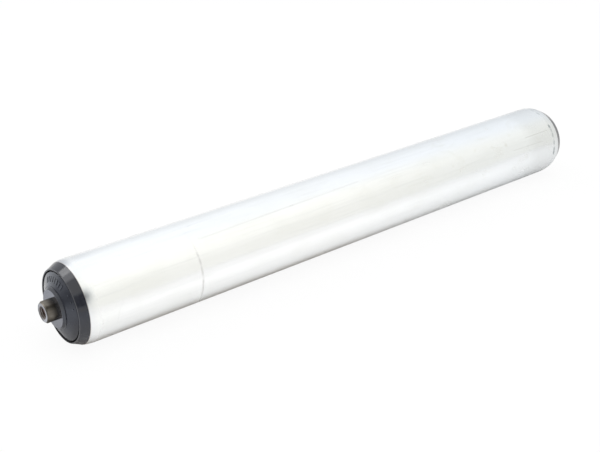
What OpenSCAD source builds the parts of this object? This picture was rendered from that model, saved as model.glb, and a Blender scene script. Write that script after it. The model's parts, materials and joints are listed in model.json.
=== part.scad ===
// Free-running conveyor roller: a steel tube on two sealed ball bearings, turning on a fixed
// hexagonal shaft with a tapped hole in each end. The roller's axis is X, its middle is the origin.

/* [Tube] */
// Outside diameter of the tube
tube_d = 50; // [46:1:80]
// Wall of the tube
tube_wall = 1.5; // [1:0.1:2]
// Length of the tube from end to end
tube_len = 398; // [150:1:1200]
// Length of each drawn-in tube end
rolled_len = 6.5; // [3:0.5:8]
// How much smaller the tube's radius is at its very ends
rolled_drop = 0.8; // [0.2:0.1:1.2]
// Rounding of the tube's outer end edges
tube_edge_r = 0.3; // [0.1:0.05:0.5]

/* [Shaft] */
// Width of the hexagonal bar across its flats
hex_af = 11; // [8:0.5:11.5]
// How far the shaft stands out of the tube at each end
shaft_overhang = 16; // [12:0.5:40]
// Chamfer of the bar's corners at each end
shaft_chamfer = 0.9; // [0.4:0.1:1.5]
// Diameter of the tapped hole's core
tap_d = 6.8; // [4:0.1:7]
// Depth of the tapped hole's straight wall
tap_depth = 20; // [10:1:30]
// Diameter of the tapped hole's chamfered mouth
tap_mouth_d = 7.8; // [7.2:0.1:8.4]

/* [Bearing] */
// Bore of the ball bearing
bearing_bore = 15; // [15:0.5:17]
// Outside diameter of the ball bearing
bearing_d = 32; // [30:0.5:33]
// Width of the ball bearing
bearing_w = 9; // [8:0.5:11]
// Diameter of a ball
ball_d = 4.762; // [4.2:0.001:5]
// Number of balls
ball_count = 9; // [7:1:9]
// Height of each race's shoulder beside its groove
race_shoulder = 2.7; // [2.5:0.05:2.8]
// Depth of the bearing below the tube's end
bearing_inset = 6; // [5:0.5:12]
// Thickness of a bearing shield
shield_t = 0.5; // [0.3:0.1:0.8]
// How far a shield lies below the bearing's face
shield_inset = 0.3; // [0.1:0.05:0.4]
// Radial thickness of the ball cage
cage_t = 2; // [1.5:0.1:2.2]
// Thickness of the cage's back behind the balls
cage_back = 0.8; // [0.5:0.1:0.9]
// Height of the cage's prongs past the middle of the balls
cage_prong = 1.2; // [0.6:0.1:1.6]
// Chamfer of the bearing rings' corners
ring_chamfer = 0.4; // [0.2:0.05:0.6]

/* [Bearing housing] */
// How far the housing's lip stands out of the tube
flange_len = 5.25; // [3:0.05:8]
// How much the bevel falls in from the flange to the lip
bevel_drop = 2.4; // [1:0.01:3.5]
// Thickness of the lip
lip_wall = 0.94; // [0.4:0.02:1.2]
// Depth of the seal groove below the lip
groove_depth = 8; // [6:0.5:9]
// Length of the plug that is pressed into the tube
plug_len = 28; // [24:1:45]
// Wall of the plug's outer sleeve
plug_wall = 2.2; // [1.5:0.1:3]
// Wall around the bearing seat
seat_wall = 2.3; // [1.5:0.1:2.5]
// Thickness of the web between the sleeves
web_t = 2.5; // [1.5:0.1:4]
// Thickness of the shoulder behind the bearing
shoulder_t = 2; // [1:0.1:3]
// How far the shoulder reaches in over the outer ring
shoulder_h = 1.6; // [1:0.1:1.9]
// How far the snap bead holds the bearing
bead_h = 0.3; // [0.1:0.05:0.4]
// Wall of the labyrinth ring in front of the bearing
labyrinth_wall = 1.1; // [0.8:0.1:1.5]
// How far the labyrinth ring stands out of the tube's end
labyrinth_top = 1; // [0:0.5:2]
// Number of ribs between the sleeves
rib_count = 8; // [4:1:12]
// Thickness of a rib
rib_t = 1.6; // [1:0.1:2.5]

/* [Seal disc] */
// Wall of the disc and its skirt
disc_wall = 1.5; // [1:0.1:2]
// How far the disc's edge lies below the housing's lip
disc_inset = 0.25; // [0:0.05:1]
// How far the disc's cone rises from its edge to its hub
cone_rise = 3.1; // [1:0.1:5]
// Diameter of the hub at its foot
hub_foot_d = 25.6; // [23.4:0.1:28]
// Diameter of the hub's flat face
hub_face_d = 22.2; // [18:0.1:24]
// Height of the hub above its foot
hub_h = 1.75; // [1:0.05:3]
// Width of the ledge around the hub's foot
hub_ledge_w = 0.4; // [0.2:0.05:0.5]
// Height of that ledge above the cone
hub_ledge_h = 0.45; // [0.2:0.05:0.6]
// Rounding of the hub's and the disc's front edges
disc_edge_r = 0.35; // [0.1:0.05:0.6]
// Outside diameter of the hub's tube behind the disc
hub_tube_d = 18; // [16.5:0.1:19]
// Middle diameter of the rib behind the disc
disc_rib_d = 30; // [29:0.1:30]
// Wall of the rib behind the disc
disc_rib_wall = 1.2; // [0.8:0.1:1.4]
// Gap between that rib and the bearing's face
disc_rib_gap = 1.4; // [1:0.1:3]
// Number of raised bars in the row on the disc's cone
mark_count = 8; // [3:1:20]
// Angle that the row of bars spans
mark_span = 60; // [60:5:180]
// Angle of the row's middle, from the roller's side upward
mark_middle = 80; // [0:5:355]
// Length of a bar along the cone
mark_len = 3; // [1.5:0.1:4]
// Width of a bar
mark_w = 1.1; // [0.6:0.1:1.4]
// Height of a bar or a stud above the cone
mark_h = 0.3; // [0.1:0.05:0.5]
// Number of small studs that follow the row of bars
stud_count = 3; // [2:1:8]
// Angle that the studs span
stud_span = 26; // [10:2:90]
// Angle of the studs' middle, from the roller's side upward
stud_middle = 145; // [0:5:355]
// Diameter of a stud
stud_d = 1; // [0.6:0.1:1.4]

/* [Bush and retaining ring] */
// Outside diameter of the bush's flange
bush_flange_d = 18.4; // [17.5:0.1:19]
// Thickness of the bush's flange
bush_flange_t = 1.5; // [1:0.1:2.5]
// Depth of the retaining ring's groove in the shaft's corners
ring_groove = 0.75; // [0.4:0.05:0.75]
// Thickness of the retaining ring
ring_t = 1; // [0.8:0.1:1.5]
// Radial width of the retaining ring
ring_w = 2.6; // [2:0.1:3.5]
// Opening of the retaining ring
ring_mouth = 9; // [7:0.5:10]

/* [Clearances] */
// Radial gap for the bearing to pass through the labyrinth ring
bearing_pass = 0.2; // [0.05:0.05:0.3]
// Gap between the seal disc and the housing's lip
seal_gap = 0.75; // [0.5:0.01:1.5]
// Radial gap inside the labyrinth
labyrinth_gap = 0.8; // [0.5:0.1:1.2]
// Gap between the disc's skirt and the floor of its groove
skirt_gap = 0.6; // [0.4:0.1:1.5]
// Gap between a ball and its races
race_gap = 0.1; // [0.05:0.01:0.15]
// Gap between a ball and its cage pocket
pocket_gap = 0.12; // [0.08:0.01:0.2]
// Gap between a shield and the inner ring
shield_gap = 0.3; // [0.2:0.05:0.5]
// Gap at each flat between the hexagonal bar and what sits on it
hex_gap = 0.02; // [0.01:0.01:0.1]
// Gap between a piece on the shaft and its neighbour along the shaft
end_gap = 0.1; // [0.05:0.05:0.3]
// Radial gap under the retaining ring
ring_gap = 0.05; // [0.02:0.01:0.1]

/* [Hidden] */
ENDS = ["near", "far"];
END_PARTS = [
    "bearing_housing", "seal_disc", "hex_bush", "retaining_ring", "inner_ring", "outer_ring",
    "outer_shield", "inner_shield", "ball_cage"
];
$fn = 96;

// In every outline below, a point is [radius, place] in the section through the roller's axis.
// Place 0 is the end of the tube, and places outside the tube are positive.

tube_r = tube_d / 2;
bore_r = tube_r - tube_wall;
end_r = tube_r - rolled_drop;
// Radius of the arc that a drawn-in end follows
rolled_r = (rolled_len ^ 2 + rolled_drop ^ 2) / (2 * rolled_drop);
// Where on that arc the rounding of the tube's outer end edge starts
edge_angle = asin((rolled_len - tube_edge_r) / (rolled_r - tube_edge_r));

shaft_len = tube_len + 2 * shaft_overhang;
corner_r = hex_af / 2 / cos(30);
tap_r = tap_d / 2;
mouth_chamfer = (tap_mouth_d - tap_d) / 2;
// How far the cut of the hole's mouth runs past the shaft's end face
mouth_cut = 1;
// Point angle of the drill that made the hole
drill_angle = 118;

bearing_front = -bearing_inset;
bearing_back = bearing_front - bearing_w;
bearing_mid = (bearing_front + bearing_back) / 2;
bearing_r = bearing_d / 2;
bearing_bore_r = bearing_bore / 2;
pitch_r = (bearing_r + bearing_bore_r) / 2;
inner_land_r = bearing_bore_r + race_shoulder;
outer_land_r = bearing_r - race_shoulder;
race_r = ball_d / 2 + race_gap;
pocket_r = ball_d / 2 + pocket_gap;
// Distances of a shield's two faces from the middle of the bearing
shield_front = bearing_w / 2 - shield_inset;
shield_back = shield_front - shield_t;
shield_seat_r = outer_land_r + shield_t;

// Step from the tube's end edge in to the housing's flange
flange_step = 0.1;
lip_r = end_r - bevel_drop;
// The seal's walls and gaps, one inside the other, fill the room between the lip and the bearing.
// Where a small tube leaves less room than they need, they all get thinner alike.
seal_room = lip_r - bearing_r - bearing_pass;
seal_fit = min(1, seal_room / (lip_wall + seal_gap + disc_wall + labyrinth_gap + labyrinth_wall));
lip_t = seal_fit * lip_wall;
labyrinth_t = seal_fit * labyrinth_wall;
groove_r = lip_r - lip_t;
groove_floor = flange_len - groove_depth;
web_back = groove_floor - web_t;
shoulder_back = bearing_back - shoulder_t;
// Lead-in chamfer at the plug's inner end
plug_lead = 0.4;

disc_r = groove_r - seal_fit * seal_gap;
skirt_r = disc_r - seal_fit * disc_wall;
labyrinth_r = skirt_r - seal_fit * labyrinth_gap;
disc_edge = flange_len - disc_inset;
hub_foot = disc_edge + cone_rise;
hub_face = hub_foot + hub_h;
hub_back = bearing_front + end_gap;
hub_tube_r = hub_tube_d / 2;
cone_angle = atan(cone_rise / (disc_r - hub_foot_d / 2));

ring_front = bearing_back - bush_flange_t - end_gap;
ring_back = ring_front - ring_t;
ring_groove_r = corner_r - ring_groove;
ring_bore_r = ring_groove_r + ring_gap;

// Place of the disc's front cone at a radius
function cone_front(r) = disc_edge + (disc_r - r) * tan(cone_angle);
// Place of the disc's back at a radius
function cone_back(r) = cone_front(r) - disc_wall / cos(cone_angle);
// Points along an arc around a centre, from one angle to another
function arc(centre, r, from, to, steps = 6) =
    [for (i = [0 : steps]) let (a = from + (to - from) * i / steps) centre + r * [cos(a), sin(a)]];
// The drawn-in end of a wall of a radius, from where it starts to an angle on its arc
function rolled_end(r, to) = arc([r - rolled_r, -rolled_len], rolled_r, 0, to, 10);
// A whole outline from one that is drawn at the tube's end, which repeats mirrored at the other end
function both_ends(points) =
    concat(
        [for (p = points) [p[0], p[1] + tube_len / 2]],
        [for (i = [len(points) - 1 : -1 : 0]) [points[i][0], -points[i][1] - tube_len / 2]]
    );

// Turns an outline around the roller's axis
module turned() {
    rotate([0, 90, 0])
        rotate_extrude()
            children();
}

// Puts a piece that is drawn from the tube's end at the near or the far end
module at_end(end) {
    mirror([end == "near" ? 1 : 0, 0, 0])
        translate([tube_len / 2, 0, 0])
            children();
}

// A round bar or disc along the axis, between two places
module round_bar(r, from, to) {
    translate([from, 0, 0])
        rotate([0, 90, 0])
            cylinder(r = r, h = to - from);
}

// A hexagonal bar along the axis with flats above and below, between two places
module hex_bar(af, from, to) {
    translate([from, 0, 0])
        rotate([0, 90, 0])
            rotate(30)
                cylinder(r = af / 2 / cos(30), h = to - from, $fn = 6);
}

module tube() {
    outside = rolled_end(tube_r, edge_angle);
    edge_centre = outside[len(outside) - 1] - tube_edge_r * [cos(edge_angle), sin(edge_angle)];
    color("gainsboro")
        turned()
            polygon(both_ends(concat(
                rolled_bore(),
                arc(edge_centre, tube_edge_r, 90, edge_angle),
                [for (i = [len(outside) - 2 : -1 : 0]) outside[i]]
            )));
}

// The bore of the tube's drawn-in end, which the bearing housing's outside follows
function rolled_bore() = rolled_end(bore_r, asin(rolled_len / rolled_r));

module shaft() {
    color("rosybrown")
        difference() {
            intersection() {
                hex_bar(hex_af, -shaft_len / 2, shaft_len / 2);
                turned() polygon(both_ends([
                    [0, shaft_overhang],
                    [corner_r - shaft_chamfer, shaft_overhang],
                    [corner_r + shaft_chamfer, shaft_overhang - 2 * shaft_chamfer],
                    [corner_r + shaft_chamfer, 0]
                ]));
            }
            for (end = ENDS)
                at_end(end) {
                    tapped_hole();
                    ring_groove();
                }
        }
}

// The drilled core and the chamfered mouth of the tapped hole in a shaft end
module tapped_hole() {
    wall_front = shaft_overhang - mouth_chamfer;
    wall_back = wall_front - tap_depth;
    turned()
        polygon([
            [0, shaft_overhang + mouth_cut],
            [tap_r + mouth_chamfer + mouth_cut, shaft_overhang + mouth_cut],
            [tap_r, wall_front],
            [tap_r, wall_back],
            [0, wall_back - tap_r / tan(drill_angle / 2)]
        ]);
}

// The groove in the shaft's six corners that holds the retaining ring
module ring_groove() {
    difference() {
        round_bar(corner_r + 1, ring_back - end_gap / 2, ring_front + end_gap / 2);
        round_bar(ring_groove_r, ring_back - end_gap, ring_front + end_gap);
    }
}

module bearing_housing() {
    rib_foot = bearing_r + seat_wall / 2;
    rib_head = bore_r - plug_wall / 2;
    color("black")
        union() {
            turned() polygon(housing_outline());
            for (k = [0 : rib_count - 1])
                rotate([k * 360 / rib_count, 0, 0])
                    translate([shoulder_back, rib_foot, -rib_t / 2])
                        cube([web_back + web_t / 2 - shoulder_back, rib_head - rib_foot, rib_t]);
        }
}

function housing_outline() = concat(
    // Flange, bevel, lip and the groove that the seal disc's skirt stands in
    [[end_r - flange_step, 0]],
    arc([lip_r - lip_t / 2, flange_len - lip_t / 2], lip_t / 2, 0, 180),
    [[groove_r, groove_floor], [labyrinth_r, groove_floor]],
    // Labyrinth ring, snap bead, bearing seat and shoulder
    [
        [labyrinth_r, labyrinth_top],
        [labyrinth_r - labyrinth_t, labyrinth_top],
        [labyrinth_r - labyrinth_t, bearing_front + 3 * bead_h],
        [bearing_r - bead_h, bearing_front + bead_h],
        [bearing_r, bearing_front],
        [bearing_r, bearing_back],
        [bearing_r - shoulder_h, bearing_back],
        [bearing_r - shoulder_h, shoulder_back]
    ],
    // Inner sleeve, web and the outer sleeve that is pressed into the tube
    [
        [bearing_r + seat_wall, shoulder_back],
        [bearing_r + seat_wall, web_back],
        [bore_r - plug_wall, web_back],
        [bore_r - plug_wall, -plug_len],
        [bore_r - plug_lead, -plug_len],
        [bore_r, -plug_len + 3 * plug_lead]
    ],
    rolled_bore()
);

module seal_disc() {
    color("dimgray")
        difference() {
            union() {
                turned() polygon(seal_disc_outline());
                disc_marks();
            }
            hex_bar(hex_af + 2 * hex_gap, hub_back - 1, hub_face + 1);
        }
}

// A row of plain raised bars on the disc's cone, half way between its edge and its hub, and
// a few small studs after them
module disc_marks() {
    mark_r = (disc_r + hub_foot_d / 2) / 2;
    for (k = [0 : mark_count - 1])
        on_cone(mark_r, mark_middle + mark_span * (k / (mark_count - 1) - 0.5))
            cube([2 * mark_h, mark_len, mark_w], center = true);
    for (k = [0 : stud_count - 1])
        on_cone(mark_r + mark_len / 2, stud_middle + stud_span * (k / (stud_count - 1) - 0.5))
            rotate([0, 90, 0])
                cylinder(d = stud_d, h = 2 * mark_h, center = true);
}

// A place on the disc's cone, at a radius and at an angle from the roller's side upward
module on_cone(r, angle) {
    rotate([angle, 0, 0])
        translate([cone_front(r), r, 0])
            rotate([0, 0, cone_angle])
                children();
}

function seal_disc_outline() =
    let (
        foot_r = hub_foot_d / 2,
        face_r = hub_face_d / 2,
        side_r = foot_r - hub_ledge_w,
        rib_in = (disc_rib_d - disc_rib_wall) / 2,
        rib_out = (disc_rib_d + disc_rib_wall) / 2,
        rib_end = bearing_front + disc_rib_gap,
        skirt_end = groove_floor + skirt_gap,
        edge_r = disc_r - disc_edge_r,
        edge_centre = [edge_r, cone_front(edge_r) - disc_edge_r / cos(cone_angle)]
    )
    concat(
        // Hub tube, back of the disc with its rib, and the skirt
        [
            [0, hub_back],
            [hub_tube_r, hub_back],
            [hub_tube_r, cone_back(hub_tube_r)],
            [rib_in, cone_back(rib_in)],
            [rib_in, rib_end],
            [rib_out, rib_end],
            [rib_out, cone_back(rib_out)],
            [skirt_r, cone_back(skirt_r)],
            [skirt_r, skirt_end],
            [disc_r, skirt_end]
        ],
        // Front edge, cone, the ledge at the hub's foot, and the hub
        arc(edge_centre, disc_edge_r, 0, 90 - cone_angle),
        [
            [foot_r, hub_foot],
            [foot_r, hub_foot + hub_ledge_h],
            [side_r, hub_foot + hub_ledge_h]
        ],
        arc(
            [face_r, hub_face - disc_edge_r],
            disc_edge_r,
            atan2(side_r - face_r, hub_h - hub_ledge_h),
            90
        ),
        [[0, hub_face]]
    );

module hex_bush() {
    flange_back = bearing_back - bush_flange_t;
    color("ivory")
        difference() {
            union() {
                round_bar(bearing_bore_r, flange_back, bearing_front);
                round_bar(bush_flange_d / 2, flange_back, bearing_back);
            }
            hex_bar(hex_af + 2 * hex_gap, flange_back - 1, bearing_front + 1);
        }
}

module retaining_ring() {
    color("darkslategray")
        difference() {
            round_bar(ring_bore_r + ring_w, ring_back, ring_front);
            round_bar(ring_bore_r, ring_back - 1, ring_front + 1);
            translate([ring_back - 1, 0, -ring_mouth / 2])
                cube([ring_t + 2, ring_bore_r + 2 * ring_w, ring_mouth]);
        }
}

module inner_ring() {
    color("silver")
        turned()
            difference() {
                polygon([
                    [bearing_bore_r + ring_chamfer, bearing_back],
                    [inner_land_r, bearing_back],
                    [inner_land_r, bearing_front],
                    [bearing_bore_r + ring_chamfer, bearing_front],
                    [bearing_bore_r, bearing_front - ring_chamfer],
                    [bearing_bore_r, bearing_back + ring_chamfer]
                ]);
                race_section();
            }
}

module outer_ring() {
    color("silver")
        turned()
            difference() {
                polygon([
                    [bearing_r - ring_chamfer, bearing_back],
                    [bearing_r, bearing_back + ring_chamfer],
                    [bearing_r, bearing_front - ring_chamfer],
                    [bearing_r - ring_chamfer, bearing_front],
                    [shield_seat_r, bearing_front],
                    [shield_seat_r, bearing_mid + shield_back],
                    [outer_land_r, bearing_mid + shield_back],
                    [outer_land_r, bearing_mid - shield_back],
                    [shield_seat_r, bearing_mid - shield_back],
                    [shield_seat_r, bearing_back]
                ]);
                race_section();
            }
}

// The section of the race that the balls run in
module race_section() {
    translate([pitch_r, bearing_mid])
        circle(r = race_r);
}

// A shield of the bearing: side 1 faces out of the roller, side -1 faces in
module shield(side) {
    middle = bearing_mid + side * (shield_front + shield_back) / 2;
    color("darkred")
        difference() {
            round_bar(shield_seat_r, middle - shield_t / 2, middle + shield_t / 2);
            round_bar(inner_land_r + shield_gap, middle - shield_t, middle + shield_t);
        }
}

module ball_cage() {
    back = bearing_mid - pocket_r - cage_back;
    front = bearing_mid + cage_prong;
    color("khaki")
        difference() {
            round_bar(pitch_r + cage_t / 2, back, front);
            round_bar(pitch_r - cage_t / 2, back - 1, front + 1);
            for (k = [1 : ball_count])
                at_ball(k)
                    rotate([90, 0, 0])
                        cylinder(r = pocket_r, h = 2 * cage_t, center = true);
        }
}

module ball(k) {
    color("white")
        at_ball(k) sphere(r = ball_d / 2);
}

// The middle of a ball
module at_ball(k) {
    rotate([(k - 1) * 360 / ball_count, 0, 0])
        translate([bearing_mid, pitch_r, 0])
            children();
}

tube();
shaft();
for (end = ENDS) {
    at_end(end) bearing_housing();
    at_end(end) seal_disc();
    at_end(end) hex_bush();
    at_end(end) retaining_ring();
    at_end(end) inner_ring();
    at_end(end) outer_ring();
    at_end(end) shield(1);
    at_end(end) shield(-1);
    at_end(end) ball_cage();
    for (k = [1 : ball_count])
        at_end(end) ball(k);
}
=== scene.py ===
"""Looks of the conveyor roller: finishes for every CAD node, the threads in the shaft's ends,
and a plain studio. Lengths are in metres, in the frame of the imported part."""

import functools
import json
import math

import bmesh
import bpy
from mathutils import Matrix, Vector

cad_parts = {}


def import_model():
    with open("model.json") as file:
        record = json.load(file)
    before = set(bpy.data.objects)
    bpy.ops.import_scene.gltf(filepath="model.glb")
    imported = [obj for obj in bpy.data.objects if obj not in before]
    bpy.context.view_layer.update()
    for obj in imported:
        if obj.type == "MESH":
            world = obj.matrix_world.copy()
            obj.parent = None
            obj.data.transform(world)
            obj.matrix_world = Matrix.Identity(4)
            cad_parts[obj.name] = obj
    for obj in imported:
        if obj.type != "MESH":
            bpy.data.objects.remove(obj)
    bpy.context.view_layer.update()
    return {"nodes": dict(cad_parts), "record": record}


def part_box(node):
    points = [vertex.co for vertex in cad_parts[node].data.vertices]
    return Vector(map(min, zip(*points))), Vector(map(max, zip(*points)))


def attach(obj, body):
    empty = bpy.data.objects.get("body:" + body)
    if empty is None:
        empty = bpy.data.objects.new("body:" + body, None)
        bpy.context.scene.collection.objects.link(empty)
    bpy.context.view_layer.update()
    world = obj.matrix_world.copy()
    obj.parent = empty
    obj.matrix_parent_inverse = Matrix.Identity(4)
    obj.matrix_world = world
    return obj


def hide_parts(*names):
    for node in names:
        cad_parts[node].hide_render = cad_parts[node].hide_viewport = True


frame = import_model()
nodes = frame["nodes"]

MM = 0.001

# Driving sizes, taken from the frame
TUBE_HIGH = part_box("tube")[1]
TUBE_R = TUBE_HIGH.y
TUBE_END = TUBE_HIGH.x
SHAFT_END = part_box("shaft")[1].x

# Places on the end pieces, as distances along the axis from the middle, and radii
LIP_END = TUBE_END + 5.25 * MM
DISC_EDGE = TUBE_END + 5.0 * MM
HUB_FACE = TUBE_END + 9.85 * MM
DISC_R = 20.1 * MM
CONE_SLOPE = 0.424
MARKS_INNER_R = 13.6 * MM
HUB_FOOT_R = 12.8 * MM

# The tapped holes in the shaft's ends
CORE_R = 3.4 * MM
THREAD_R = 4.0 * MM
PITCH = 1.25 * MM
MOUTH_R = 3.9 * MM
HOLE_DEPTH = 20.5 * MM
THREAD_DEPTH = 17 * MM
DRILL_HALF_ANGLE = math.radians(59)
STEPS_PER_TURN = 10
THREAD_FULLNESS = 1.15


# ---------------------------------------------------------------- node tree helpers

class Graph:
    """A node tree with one short call for each kind of node that the looks use."""

    def __init__(self, tree):
        self.tree = tree
        tree.nodes.clear()

    def node(self, kind, inputs=None, **settings):
        made = self.tree.nodes.new(kind)
        for name, value in settings.items():
            setattr(made, name, value)
        for name, value in (inputs or {}).items():
            self.plug(made.inputs[name], value)
        return made

    def plug(self, socket, value):
        if isinstance(value, bpy.types.NodeSocket):
            self.tree.links.new(value, socket)
        elif isinstance(value, tuple) and len(value) == 3 and socket.type == "RGBA":
            socket.default_value = (*value, 1)
        else:
            socket.default_value = value

    def math(self, operation, *values):
        made = self.tree.nodes.new("ShaderNodeMath")
        made.operation = operation
        for socket, value in zip(made.inputs, values):
            self.plug(socket, value)
        return made.outputs[0]

    def add(self, a, b):
        return self.math("ADD", a, b)

    def times(self, a, b):
        return self.math("MULTIPLY", a, b)

    def minus(self, a, b):
        return self.math("SUBTRACT", a, b)

    def total(self, values):
        return functools.reduce(self.add, values)

    def length(self, a, b):
        """Length of the flat vector (a, b)."""
        return self.math("SQRT", self.add(self.times(a, a), self.times(b, b)))

    def step(self, value, start, end, low=0.0, high=1.0):
        """A smooth step from low to high as value goes from start to end."""
        made = self.node(
            "ShaderNodeMapRange",
            {"Value": value, "From Min": start, "From Max": end, "To Min": low, "To Max": high},
            interpolation_type="SMOOTHSTEP",
        )
        return made.outputs["Result"]

    def near(self, value, centre, half_width):
        """1 where value is at centre, falling smoothly to 0 at half_width from it."""
        off = self.math("ABSOLUTE", self.minus(value, centre))
        return self.step(off, half_width, 0.3 * half_width)

    def mix(self, share, a, b):
        """Colour a where share is 0 and colour b where it is 1."""
        made = self.node("ShaderNodeMix", data_type="RGBA")
        self.plug(made.inputs["Factor"], share)
        self.plug(made.inputs[6], a)
        self.plug(made.inputs[7], b)
        return made.outputs[2]

    def noise(self, vector, scale, detail=3.0, roughness=0.5, distortion=0.0):
        made = self.node(
            "ShaderNodeTexNoise",
            {
                "Vector": vector, "Scale": scale, "Detail": detail,
                "Roughness": roughness, "Distortion": distortion,
            },
        )
        return made.outputs["Fac"]

    def stretched(self, vector, x=1.0, y=1.0, z=1.0):
        return self.node(
            "ShaderNodeVectorMath", {0: vector, 1: (x, y, z)}, operation="MULTIPLY"
        ).outputs[0]

    def bump(self, height, distance, strength=1.0, under=None):
        inputs = {"Height": height, "Distance": distance, "Strength": strength}
        if under is not None:
            inputs["Normal"] = under
        return self.node("ShaderNodeBump", inputs).outputs[0]


class Finish(Graph):
    """A surface material, with the place on the part ready as x, y, z, end, radius and angle."""

    def __init__(self, name):
        self.material = bpy.data.materials.new(name)
        self.material.use_nodes = True
        super().__init__(self.material.node_tree)
        self.place = self.node("ShaderNodeTexCoord").outputs["Object"]
        parts = self.node("ShaderNodeSeparateXYZ", {"Vector": self.place}).outputs
        self.x, self.y, self.z = parts
        self.end = self.math("ABSOLUTE", self.x)
        # From +Y toward +Z, 0 to 2 pi, with the join of the turn on the roller's +Y side
        turned = self.math("ARCTAN2", self.times(self.z, -1.0), self.times(self.y, -1.0))
        self.angle = self.add(turned, math.pi)
        self.radius = self.length(self.y, self.z)

    def sector(self, degrees, start, end, low=0.0, high=1.0):
        """A smooth step in the cosine of the angle round the axis away from a direction."""
        away = self.math("COSINE", self.minus(self.angle, math.radians(degrees)))
        return self.step(away, start, end, low, high)

    def from_point(self, x, degrees):
        """Distance over the tube's surface from a point at x mm and an angle."""
        along = self.minus(self.x, x * MM)
        around = self.times(self.minus(self.angle, math.radians(degrees)), TUBE_R)
        return self.length(along, around)

    def surface(self, colour, roughness, metallic=0.0, normal=None, **constants):
        shader = self.node(
            "ShaderNodeBsdfPrincipled",
            {"Base Color": colour, "Roughness": roughness, "Metallic": metallic, **constants},
        )
        if normal is not None:
            self.plug(shader.inputs["Normal"], normal)
        self.node("ShaderNodeOutputMaterial", {"Surface": shader.outputs[0]})
        return self.material


# ---------------------------------------------------------------- finishes

# Angles are in degrees, from +Y toward +Z, and lengths in mm
# Scratches, and soft smears of which two are painted reflections: start x, start angle, end x, end
# angle, half width, depth of colour
SCRATCHES_AND_REFLECTIONS = [
    (164, 138.8, 190.5, 138.7, 0.28, 0.36),
    (148, 152.5, 181, 153.8, 0.28, 0.20),
    (163.5, 151, 165.5, 163, 0.40, 0.12),
    # These two soft dark lines are a painted reflection of an edge, not scratches
    (-119, 121.6, -50, 118.6, 0.95, 0.10),
    (-52, 118.6, 5, 116.5, 0.90, 0.08),
    (-178, 164, -181.5, 176, 0.28, 0.14),
    (-181.5, 176, -183, 194, 0.28, 0.16),
    (-121, 123, -120.4, 119, 0.40, 0.16),
    (-121.5, 96, -119.5, 93, 0.60, 0.12),
    (96, 150, 118, 147, 0.22, 0.14),
    (20, 128, 46, 126, 0.22, 0.10),
]
# Small stains: x, angle, half width, depth of colour
STAINS = [
    (142.4, 139.4, 2.6, 0.20), (128.6, 136.2, 2.2, 0.16), (175.4, 179.6, 1.6, 0.40),
    (150.5, 125.0, 2.0, 0.12), (176.5, 147.5, 3.4, 0.14), (161.0, 172.0, 1.8, 0.14),
    (112.0, 131.0, 2.0, 0.12), (86.0, 143.0, 1.8, 0.12), (60.0, 120.0, 1.6, 0.08),
]
SCORE_X = -126 * MM
SCORE_HALF_WIDTH = 0.95 * MM
# Marks of the tool that drew in the far end, round a ring: angle and depth of each
TOOL_MARK_X = TUBE_END - 5.8 * MM
TOOL_MARK_HALF_WIDTH = 1.35 * MM
TOOL_MARK_HALF_ANGLE = math.radians(5.2)
TOOL_MARKS = [
    (8, 0.3), (31, 0.5), (52, 0.2), (71, 0.15), (88, 0.3), (102.5, 0.45), (133.5, 1.0),
    (141.3, 0.5), (150, 0.7), (163, 0.65), (174.2, 0.75), (181.2, 1.0), (204, 0.3),
    (226, 0.6), (247, 0.4), (259, 0.7), (288, 0.35), (311, 0.6), (337, 0.45),
]


def straight_mark(f, mark):
    """How much of a thin straight mark, scratch and painted reflection line alike, there is at a
    point of the tube's surface.
    """
    x0, a0, x1, a1, half_width, depth = mark
    start = (x0 * MM, math.radians(a0) * TUBE_R)
    along = (x1 * MM - start[0], math.radians(a1) * TUBE_R - start[1])
    length_2 = along[0] ** 2 + along[1] ** 2
    px = f.minus(f.x, start[0])
    ps = f.minus(f.times(f.angle, TUBE_R), start[1])
    share = f.times(f.add(f.times(px, along[0]), f.times(ps, along[1])), 1 / length_2)
    share = f.math("MINIMUM", f.math("MAXIMUM", share, 0.0), 1.0)
    dx = f.minus(px, f.times(share, along[0]))
    ds = f.minus(ps, f.times(share, along[1]))
    return f.times(f.step(f.length(dx, ds), half_width * MM, 0.0), depth)


def small_stain(f, mark):
    x, angle, half_width, depth = mark
    ragged = f.times(f.minus(f.noise(f.place, 650, 3), 0.5), 2.4 * MM)
    away = f.add(f.from_point(x, angle), ragged)
    return f.times(f.step(away, half_width * MM, 0.0), depth)


def specks(f, scale, size, chosen, channel, **settings):
    """Round specks in a share of the cells: size and chosen are (start, end) of their steps."""
    cells = f.node("ShaderNodeTexVoronoi", {"Vector": f.place, "Scale": scale, **settings})
    picked = f.node("ShaderNodeSeparateColor", {"Color": cells.outputs["Color"]})
    return f.times(f.step(cells.outputs["Distance"], *size), f.step(picked.outputs[channel], *chosen))


def score_line(f):
    """The line scored round the tube, fading out above the tube's front."""
    wander = f.times(f.minus(f.noise(f.place, 160, 2), 0.5), 0.7 * MM)
    score = f.near(f.add(f.x, wander), SCORE_X, SCORE_HALF_WIDTH)
    front = f.sector(188, 0.42, 0.86, 0.06, 1.0)
    broken = f.step(f.noise(f.place, 420, 2), 0.30, 0.55, 0.35, 1.0)
    return f.times(f.times(score, front), broken)


def tool_marks(f):
    dashes = f.total(
        f.times(f.near(f.angle, math.radians(angle), TOOL_MARK_HALF_ANGLE), depth)
        for angle, depth in TOOL_MARKS
    )
    slant = f.times(f.minus(f.noise(f.place, 700, 2), 0.5), 1.0 * MM)
    return f.times(dashes, f.near(f.add(f.x, slant), TOOL_MARK_X, TOOL_MARK_HALF_WIDTH))


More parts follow.
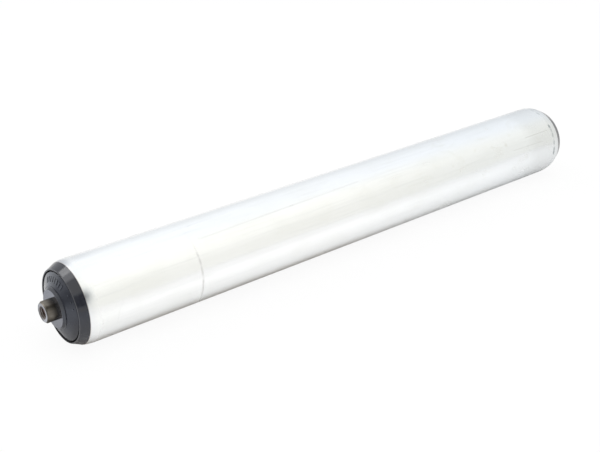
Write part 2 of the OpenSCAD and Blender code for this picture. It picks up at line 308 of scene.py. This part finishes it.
def zinc():
    """Bright zinc plating: cloudy, faintly streaked along the tube, stained toward the far end."""
    f = Finish("zinc_plating")
    toward_far = f.step(f.x, -0.06, 0.19)
    cloud = f.noise(f.stretched(f.place, 0.45), 55, 4, 0.55)
    streak = f.noise(f.stretched(f.place, 0.02), 700, 3, 0.6)
    grain = f.noise(f.place, 1500, 2, 0.6)
    colour = f.mix(f.step(cloud, 0.35, 0.7), (0.955, 0.962, 0.960), (0.925, 0.932, 0.920))
    colour = f.mix(f.times(f.step(streak, 0.5, 0.75), 0.30), colour, (0.82, 0.83, 0.83))
    colour = f.mix(f.times(f.step(grain, 0.55, 0.75), 0.10), colour, (0.70, 0.71, 0.70))

    blotch = f.noise(f.stretched(f.place, 0.6), 85, 5, 0.62, 0.4)
    stain = f.times(f.step(blotch, 0.50, 0.72), f.add(0.05, f.times(toward_far, 0.45)))
    colour = f.mix(stain, colour, (0.79, 0.775, 0.69))
    colour = f.mix(f.times(toward_far, 0.46), colour, (0.83, 0.872, 0.905))
    spots = f.total(small_stain(f, mark) for mark in STAINS)
    colour = f.mix(spots, colour, (0.62, 0.60, 0.50))
    dull_end = f.step(f.add(f.x, f.times(blotch, 12 * MM)), 0.166, 0.182)
    colour = f.mix(f.times(dull_end, 0.5), colour, (0.74, 0.755, 0.755))
    dot = specks(f, 260, (0.11, 0.05), (0.80, 0.86), 0, Randomness=1.0)
    colour = f.mix(f.times(dot, 0.30), colour, (0.42, 0.40, 0.36))

    score = score_line(f)
    colour = f.mix(f.times(score, 0.30), colour, (0.36, 0.345, 0.32))
    marks = tool_marks(f)
    # A thin painted shade along the bend of the drawn-in far end
    crease_shade = f.times(f.near(f.x, TOOL_MARK_X + 0.4 * MM, 0.5 * MM), 0.24)
    colour = f.mix(f.times(marks, 0.60), colour, (0.24, 0.28, 0.30))
    colour = f.mix(crease_shade, colour, (0.45, 0.47, 0.47))

    # The drawn-in ends carry a painted shade, most of all on the upper side, where the near end's
    # painted shade reaches further in. Their edge is faintly brown
    drawn_in = f.step(f.end, TUBE_END - 5 * MM, TUBE_END - 0.3 * MM)
    upper_shade = f.sector(64, 0.80, 0.98, 0.14, 0.75)
    colour = f.mix(f.times(drawn_in, upper_shade), colour, (0.50, 0.515, 0.545))
    shoulder_shade = f.times(f.sector(72, 0.93, 0.985), f.step(f.x, -0.172, -0.190))
    colour = f.mix(f.times(shoulder_shade, 0.13), colour, (0.30, 0.31, 0.34))
    edge = f.step(f.end, TUBE_END - 0.5 * MM, TUBE_END - 0.15 * MM)
    colour = f.mix(f.times(edge, 0.35), colour, (0.45, 0.33, 0.25))

    # Scratches, with the two soft dark lines of painted reflection among them
    scars_and_reflections = f.total(straight_mark(f, mark) for mark in SCRATCHES_AND_REFLECTIONS)
    colour = f.mix(scars_and_reflections, colour, (0.30, 0.30, 0.27))

    dull = f.add(f.times(f.step(cloud, 0.35, 0.7), 0.05), f.times(stain, 0.25))
    roughness = f.add(0.19, f.add(dull, f.times(f.minus(streak, 0.5), 0.10)))
    roughness = f.add(roughness, f.times(f.add(score, marks), 0.3))
    rolled = f.step(f.end, TUBE_END - 9 * MM, TUBE_END - 3 * MM)
    roughness = f.add(roughness, f.times(rolled, 0.10))
    normal = f.bump(streak, 0.004 * MM)
    dents = f.times(f.add(f.add(score, marks), scars_and_reflections), -1.0)
    normal = f.bump(dents, 0.05 * MM, 1.0, normal)
    return f.surface(colour, roughness, 1.0, normal)


def moulded(name, base, worn, roughness, scuffed=0.5):
    """Moulded plastic: fine-grained and glossy, with rubbed patches and specks of dust."""
    f = Finish(name)
    patch = f.noise(f.place, 130, 4, 0.6)
    fine = f.noise(f.place, 2200, 2, 0.6)
    rubbed = f.times(f.step(patch, 0.48, 0.72), scuffed)
    colour = f.mix(rubbed, base, worn)
    dust = specks(f, 700, (0.16, 0.06), (0.86, 0.90), 1)
    colour = f.mix(f.times(dust, 0.25), colour, (0.30, 0.29, 0.27))
    rough = f.add(roughness, f.add(f.times(rubbed, 0.10), f.times(f.minus(fine, 0.5), 0.05)))
    normal = f.bump(fine, 0.003 * MM)
    normal = f.bump(patch, 0.02 * MM, 1.0, normal)
    return f, colour, rough, normal


def housing_plastic():
    f, colour, rough, normal = moulded(
        "black_plastic", (0.021, 0.022, 0.029), (0.039, 0.041, 0.050), 0.14
    )
    # The lip's crest has a painted highlight, and a painted shade along its lowest part, which is
    # also duller
    crest = f.step(f.end, LIP_END - 0.35 * MM, LIP_END - 0.10 * MM)
    colour = f.mix(f.times(crest, 0.7), colour, (0.10, 0.10, 0.105))
    near_crest = f.step(f.end, LIP_END - 1.35 * MM, LIP_END - 0.65 * MM)
    low = f.times(f.sector(266, 0.78, 0.93), near_crest)
    colour = f.mix(low, colour, (0.010, 0.010, 0.011))
    rough = f.add(rough, f.times(low, 0.5))
    # A narrow painted highlight runs across the bevel
    bevel_highlight = f.sector(107, 0.985, 0.9986)
    colour = f.mix(f.times(bevel_highlight, 0.42), colour, (0.17, 0.172, 0.18))
    return f.surface(colour, rough, 0.0, normal, IOR=1.52)


def disc_plastic():
    f, colour, rough, normal = moulded(
        "grey_plastic", (0.020, 0.022, 0.030), (0.034, 0.037, 0.047), 0.16
    )
    # The tops of the raised marks are rubbed pale
    cone = f.add(DISC_EDGE, f.times(f.minus(DISC_R, f.radius), CONE_SLOPE))
    raised = f.step(f.minus(f.end, cone), 0.12 * MM, 0.24 * MM)
    beyond_hub = f.step(f.radius, MARKS_INNER_R - 0.1 * MM, MARKS_INNER_R + 0.1 * MM)
    mark = f.times(raised, beyond_hub)
    colour = f.mix(f.times(mark, 0.5), colour, (0.08, 0.085, 0.10))
    # A pale painted sheen lies on the disc's upper side, and the hub's side is a little paler all
    # round
    pale = (0.20, 0.206, 0.216)
    on_cone = f.step(f.radius, HUB_FOOT_R - 0.1 * MM, HUB_FOOT_R + 0.1 * MM)
    upper_sheen = f.times(f.sector(62, 0.78, 0.97), on_cone)
    colour = f.mix(f.times(upper_sheen, 0.36), colour, pale)
    on_hub = f.step(f.radius, HUB_FOOT_R - 0.05 * MM, HUB_FOOT_R - 0.20 * MM)
    colour = f.mix(f.times(on_hub, 0.13), colour, pale)
    # The hub's face carries a painted glare: a pale colour, nearly metallic
    face_with_painted_light = f.step(f.end, HUB_FACE - 0.07 * MM, HUB_FACE - 0.01 * MM)
    colour = f.mix(face_with_painted_light, colour, (0.170, 0.170, 0.184))
    return f.surface(colour, rough, f.times(face_with_painted_light, 0.85), normal, IOR=1.5)


def shaft_steel():
    """Cold-drawn bar, browned, drawn lines along it, brighter where its end was turned."""
    f = Finish("shaft_steel")
    drawn = f.noise(f.stretched(f.place, 0.03), 1800, 3, 0.65)
    tarnish = f.noise(f.place, 420, 4, 0.6)
    colour = f.mix(f.step(tarnish, 0.35, 0.7), (0.178, 0.160, 0.132), (0.126, 0.108, 0.086))
    colour = f.mix(f.times(f.step(drawn, 0.45, 0.75), 0.35), colour, (0.27, 0.245, 0.22))
    # Painted shade beside the hub and on the underside, outside the tube only
    hub_and_underside_shade = f.step(f.end, HUB_FACE + 4.95 * MM, HUB_FACE - 0.05 * MM)
    hub_and_underside_shade = f.math("MAXIMUM", f.times(hub_and_underside_shade, 0.92), f.step(f.z, 0.5 * MM, -4 * MM, 0.0, 0.6))
    hub_and_underside_shade = f.times(hub_and_underside_shade, f.step(f.end, TUBE_END + 4 * MM, TUBE_END + 8 * MM))
    colour = f.mix(hub_and_underside_shade, colour, (0.025, 0.022, 0.020))
    # The turned end is bright, with a painted highlight at its lower front, and darker low on its far
    # side
    turned = f.step(f.end, SHAFT_END - 0.12 * MM, SHAFT_END - 0.04 * MM)
    outside = f.step(f.radius, MOUTH_R - 0.05 * MM, MOUTH_R + 0.05 * MM)
    face_with_painted_light = f.mix(f.sector(225, 0.60, 0.95), (0.325, 0.318, 0.316), (0.42, 0.41, 0.41))
    face_with_painted_light = f.mix(f.sector(312, 0.45, 0.95), face_with_painted_light, (0.105, 0.098, 0.095))
    colour = f.mix(f.times(turned, outside), colour, face_with_painted_light)
    # The tapped hole is dusty at its mouth and rusty deeper in
    bore = f.step(f.radius, MOUTH_R + 0.05 * MM, MOUTH_R - 0.05 * MM)
    rust = f.step(f.noise(f.place, 900, 3), 0.35, 0.65)
    deep = f.step(f.end, SHAFT_END - 0.9 * MM, SHAFT_END - 2.3 * MM)
    inside = f.mix(rust, (0.22, 0.19, 0.17), (0.29, 0.262, 0.24))
    inside = f.mix(deep, inside, f.mix(rust, (0.20, 0.125, 0.105), (0.34, 0.25, 0.22)))
    colour = f.mix(bore, colour, inside)
    rough = f.add(0.36, f.add(f.times(f.minus(drawn, 0.5), 0.18), f.times(bore, 0.15)))
    normal = f.bump(drawn, 0.012 * MM)
    normal = f.bump(tarnish, 0.01 * MM, 1.0, normal)
    return f.surface(colour, rough, 0.9, normal)


def bright_steel(name, base, shade, roughness, turned=True):
    """Ground or polished steel, with fine lines round the axis where it was turned."""
    f = Finish(name)
    across = f.node("ShaderNodeCombineXYZ", {"X": f.x, "Y": f.radius}).outputs[0]
    lines = f.noise(across if turned else f.place, 6000 if turned else 900, 3, 0.6)
    cloud = f.noise(f.place, 300, 3)
    colour = f.mix(f.step(cloud, 0.35, 0.7), base, shade)
    rough = f.add(roughness, f.times(f.minus(lines, 0.5), 0.12))
    return f.surface(colour, rough, 1.0, f.bump(lines, 0.003 * MM))


def dull_moulding(name, base, shade, roughness):
    """A plain hidden moulding: bush, ball cage or rubber shield."""
    f = Finish(name)
    patch = f.noise(f.place, 500, 4, 0.6)
    fine = f.noise(f.place, 3000, 2)
    colour = f.mix(f.step(patch, 0.35, 0.7), base, shade)
    rough = f.add(roughness, f.times(f.minus(fine, 0.5), 0.08))
    return f.surface(colour, rough, 0.0, f.bump(fine, 0.006 * MM))


FINISHES = {
    "zinc_steel": zinc(),
    "shaft_steel": shaft_steel(),
    "black_plastic": housing_plastic(),
    "grey_plastic": disc_plastic(),
    "bush_plastic": dull_moulding("bush_plastic", (0.72, 0.69, 0.60), (0.62, 0.59, 0.50), 0.45),
    "spring_steel": bright_steel("spring_steel", (0.13, 0.13, 0.14), (0.08, 0.08, 0.09), 0.42),
    "bearing_steel": bright_steel("bearing_steel", (0.66, 0.66, 0.67), (0.56, 0.56, 0.57), 0.22),
    "ball_steel": bright_steel("ball_steel", (0.78, 0.78, 0.79), (0.70, 0.70, 0.72), 0.08, False),
    "shield_rubber": dull_moulding("shield_rubber", (0.03, 0.03, 0.03), (0.05, 0.05, 0.05), 0.55),
    "cage_plastic": dull_moulding("cage_plastic", (0.52, 0.43, 0.27), (0.44, 0.35, 0.21), 0.45),
}


# ---------------------------------------------------------------- the shaft's threads


def thread_radius(depth, angle):
    """Radius of the hole's wall: a right-hand thread that runs out before the hole's end."""
    phase = (depth / PITCH - angle / math.tau) % 1.0
    crest = 1 - abs(2 * phase - 1)
    run_out = min(1.0, depth / PITCH, max(0.0, (THREAD_DEPTH - depth) / PITCH))
    thread = CORE_R + (THREAD_R - CORE_R) * min(1.0, THREAD_FULLNESS * crest) * run_out
    return max(thread, MOUTH_R - depth)


def tapped_hole(bm, side):
    """Adds the threaded wall and the drill's cone to the shaft's mesh at one end."""
    end_x = side * SHAFT_END
    rim = [
        v for v in bm.verts
        if v.is_boundary and abs(v.co.x - end_x) < 0.01 * MM
    ]
    angles = sorted(math.atan2(v.co.z, v.co.y) for v in rim)
    rings = [sorted(rim, key=lambda v: math.atan2(v.co.z, v.co.y))]
    count = round(HOLE_DEPTH / PITCH * STEPS_PER_TURN)
    for k in range(1, count + 1):
        depth = HOLE_DEPTH * k / count
        ring = []
        for angle in angles:
            r = thread_radius(depth, side * angle)
            x = end_x - side * depth
            ring.append(bm.verts.new((x, r * math.cos(angle), r * math.sin(angle))))
        rings.append(ring)
    tip_x = end_x - side * (HOLE_DEPTH + CORE_R / math.tan(DRILL_HALF_ANGLE))
    tip = bm.verts.new((tip_x, 0, 0))
    for outer, inner in zip(rings, rings[1:]):
        for k in range(len(angles)):
            n = (k + 1) % len(angles)
            bm.faces.new((outer[k], outer[n], inner[n], inner[k])).smooth = True
    for k in range(len(angles)):
        bm.faces.new((rings[-1][k], rings[-1][(k + 1) % len(angles)], tip))


def threaded_shaft():
    """The CAD shaft with real threads in its two holes in place of their plain walls."""
    bm = bmesh.new()
    bm.from_mesh(nodes["shaft"].data)
    bmesh.ops.remove_doubles(bm, verts=bm.verts, dist=0.001 * MM)
    limit = MOUTH_R + 0.02 * MM
    hole = [f for f in bm.faces if all(math.hypot(v.co.y, v.co.z) < limit for v in f.verts)]
    bmesh.ops.delete(bm, geom=hole, context="FACES")
    for side in (-1, 1):
        tapped_hole(bm, side)
    bmesh.ops.recalc_face_normals(bm, faces=bm.faces)
    mesh = bpy.data.meshes.new("threaded_shaft")
    bm.to_mesh(mesh)
    bm.free()
    mesh.set_sharp_from_angle(angle=math.radians(20))
    shaft = bpy.data.objects.new("threaded_shaft", mesh)
    bpy.context.scene.collection.objects.link(shaft)
    mesh.materials.append(FINISHES["shaft_steel"])
    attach(shaft, "fixed_shaft")
    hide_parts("shaft")


def dress_nodes():
    for part in frame["record"]["subparts"]:
        mesh = nodes[part["node"]].data
        mesh.materials.clear()
        mesh.materials.append(FINISHES[part["material_slot"]])


# ---------------------------------------------------------------- studio

def floor():
    """White paper to the camera; to gloss, with the tints that the photo's metal shows."""
    half = 4.0
    mesh = bpy.data.meshes.new("floor")
    low = -TUBE_R
    corners = [(-half, -half, low), (half, -half, low), (half, half, low), (-half, half, low)]
    mesh.from_pydata(corners, [], [(0, 1, 2, 3)])
    material = bpy.data.materials.new("floor")
    material.use_nodes = True
    g = Graph(material.node_tree)
    path = g.node("ShaderNodeLightPath").outputs
    in_gloss = path["Is Glossy Ray"]
    place = g.node("ShaderNodeTexCoord").outputs["Object"]
    x, y = g.node("ShaderNodeSeparateXYZ", {"Vector": place}).outputs[:2]
    # A warm painted shadow beside the roller's foot, seen only in reflections, strongest by its
    # nearer half and fading out by its far end
    foot_shadow = g.times(g.step(y, -0.024, -0.012, 0.0, 0.34), g.step(x, 0.07, -0.02, 0.4, 1.0))
    foot_shadow = g.times(g.times(foot_shadow, g.step(y, 0.0, -0.010)), in_gloss)
    foot_shadow = g.times(foot_shadow, g.step(x, 0.115, 0.185, 1.0, 0.1))
    # A cool painted reflection tint on the paper beyond the roller's near end, seen only in
    # reflections
    cool_reflection = g.times(g.step(x, -0.195, -0.250), in_gloss)
    shade = g.mix(cool_reflection, (0.90, 0.90, 0.90), (0.85, 0.90, 1.0))
    shade = g.mix(foot_shadow, shade, (0.24, 0.16, 0.07))
    paper = g.node("ShaderNodeBsdfDiffuse", {"Color": shade}).outputs[0]
    glow = g.node("ShaderNodeEmission", {"Color": (1.0, 1.0, 1.0), "Strength": 1.0}).outputs[0]
    seen = g.math("MAXIMUM", path["Is Camera Ray"], path["Is Transmission Ray"])
    share = g.add(g.times(seen, 0.92), g.times(in_gloss, 0.03))
    mixed = g.node("ShaderNodeMixShader", {0: share, 1: paper, 2: glow}).outputs[0]
    # In reflections only, a painted dark patch lies to the left of the roller, and painted shade to
    # its sides and beyond it
    left = g.times(g.step(x, -0.28, -0.36), g.times(g.step(y, -0.04, 0.03), g.step(y, 0.34, 0.18)))
    sides = g.step(g.math("ABSOLUTE", y), 0.05, 0.16, 0.0, 0.10)
    beyond = g.step(x, 0.15, 0.24, 0.0, 0.09)
    dim = g.math("MAXIMUM", g.math("MAXIMUM", g.times(left, 0.75), sides), beyond)
    dim = g.times(dim, in_gloss)
    dark = g.node("ShaderNodeBsdfDiffuse", {"Color": (0.02, 0.02, 0.02)}).outputs[0]
    mixed = g.node("ShaderNodeMixShader", {0: dim, 1: mixed, 2: dark}).outputs[0]
    g.node("ShaderNodeOutputMaterial", {"Surface": mixed})
    mesh.materials.append(material)
    plane = bpy.data.objects.new("floor", mesh)
    bpy.context.scene.collection.objects.link(plane)


def world():
    """White to the camera; to gloss, a pale room, brighter above, with two dark patches."""
    made = bpy.data.worlds.new("studio")
    made.use_nodes = True
    bpy.context.scene.world = made
    g = Graph(made.node_tree)
    way = g.node("ShaderNodeTexCoord").outputs["Generated"]
    x, y, z = g.node("ShaderNodeSeparateXYZ", {"Vector": way}).outputs
    back = g.step(y, -0.35, 0.35)
    in_front = g.step(z, 0.28, 0.86, g.step(x, 0.40, 0.75, 0.94, 0.985), 1.12)
    behind = g.step(z, 0.0, 0.72, 0.905, 1.12)
    level = g.add(g.times(in_front, g.minus(1.0, back)), g.times(behind, back))
    level = g.times(level, g.step(x, 0.42, 0.80, 1.0, 0.92))
    tint = g.mix(back, (1.0, 0.998, 0.960), (0.938, 0.965, 1.0))
    height = g.math("ARCSINE", z)
    # The dark on the camera's side, tilted, with a bluish border. Away is 1 at a patch's edge
    around = g.minus(g.math("ARCTAN2", y, x), math.radians(-113))
    upward = g.minus(g.minus(height, g.times(around, 0.28)), math.radians(31.5))
    across, upward = g.times(around, 1 / math.radians(39)), g.times(upward, 1 / math.radians(20.5))
    away = g.length(across, upward)
    level = g.times(level, g.step(away, 0.68, 1.06, 0.04, 1.0))
    tint = g.mix(g.step(away, 1.15, 0.80, 0.0, 0.8), tint, (0.78, 0.92, 1.0))
    # A weaker patch beyond the roller's near end, toward -X
    across = g.times(g.math("ARCTAN2", g.times(y, -1.0), g.times(x, -1.0)), 1.8)
    upward = g.times(g.minus(height, math.radians(22)), 1.8)
    level = g.times(level, g.step(g.length(across, upward), 0.45, 1.05, 0.35, 1.0))
    room = g.node("ShaderNodeBackground", {"Color": tint, "Strength": level}).outputs[0]
    # Matt surfaces get plain light from above
    pure = (1.0, 1.0, 1.0)
    from_above = g.step(z, 0.0, 0.9, 0.30, 1.20)
    fill = g.node("ShaderNodeBackground", {"Color": pure, "Strength": from_above}).outputs[0]
    white = g.node("ShaderNodeBackground", {"Color": pure, "Strength": 1.0}).outputs[0]
    path = g.node("ShaderNodeLightPath").outputs
    lit = g.node("ShaderNodeMixShader", {0: path["Is Glossy Ray"], 1: fill, 2: room}).outputs[0]
    seen = g.math("MAXIMUM", path["Is Camera Ray"], path["Is Transmission Ray"])
    mixed = g.node("ShaderNodeMixShader", {0: seen, 1: lit, 2: white}).outputs[0]
    g.node("ShaderNodeOutputWorld", {"Surface": mixed})


def softbox(name, azimuth, elevation, distance, size, radiance, in_gloss):
    """A square lamp that faces the roller's middle, named by where it stands."""
    lamp = bpy.data.lights.new(name, "AREA")
    lamp.shape = "SQUARE"
    lamp.size = size
    lamp.energy = radiance * math.pi * size * size
    a, e = math.radians(azimuth), math.radians(elevation)
    toward = Vector((math.cos(a) * math.cos(e), math.sin(a) * math.cos(e), math.sin(e)))
    stand = bpy.data.objects.new(name, lamp)
    stand.location = toward * distance
    stand.rotation_euler = toward.to_track_quat("Z", "Y").to_euler()
    stand.visible_glossy = in_gloss
    bpy.context.scene.collection.objects.link(stand)


def camera():
    """The photo's camera, solved from the outlines of the tube and the rings of its near end."""
    lens = bpy.data.cameras.new("camera")
    lens.sensor_width = 36
    lens.lens = 62.28
    eye = bpy.data.objects.new("camera", lens)
    eye.location = (-0.41591, -0.45127, 0.31370)
    eye.rotation_euler = [math.radians(turn) for turn in (61.806, -1.900, -39.270)]
    bpy.context.scene.collection.objects.link(eye)
    bpy.context.scene.camera = eye


dress_nodes()
threaded_shaft()
floor()
world()
softbox(
    "softbox_above", azimuth=-90, elevation=76, distance=1.6, size=1.1,
    radiance=1.5, in_gloss=False,
)
softbox(
    "softbox_behind", azimuth=122, elevation=46, distance=1.4, size=0.42,
    radiance=3.2, in_gloss=True,
)
camera()
bpy.context.scene.view_settings.view_transform = "Standard"
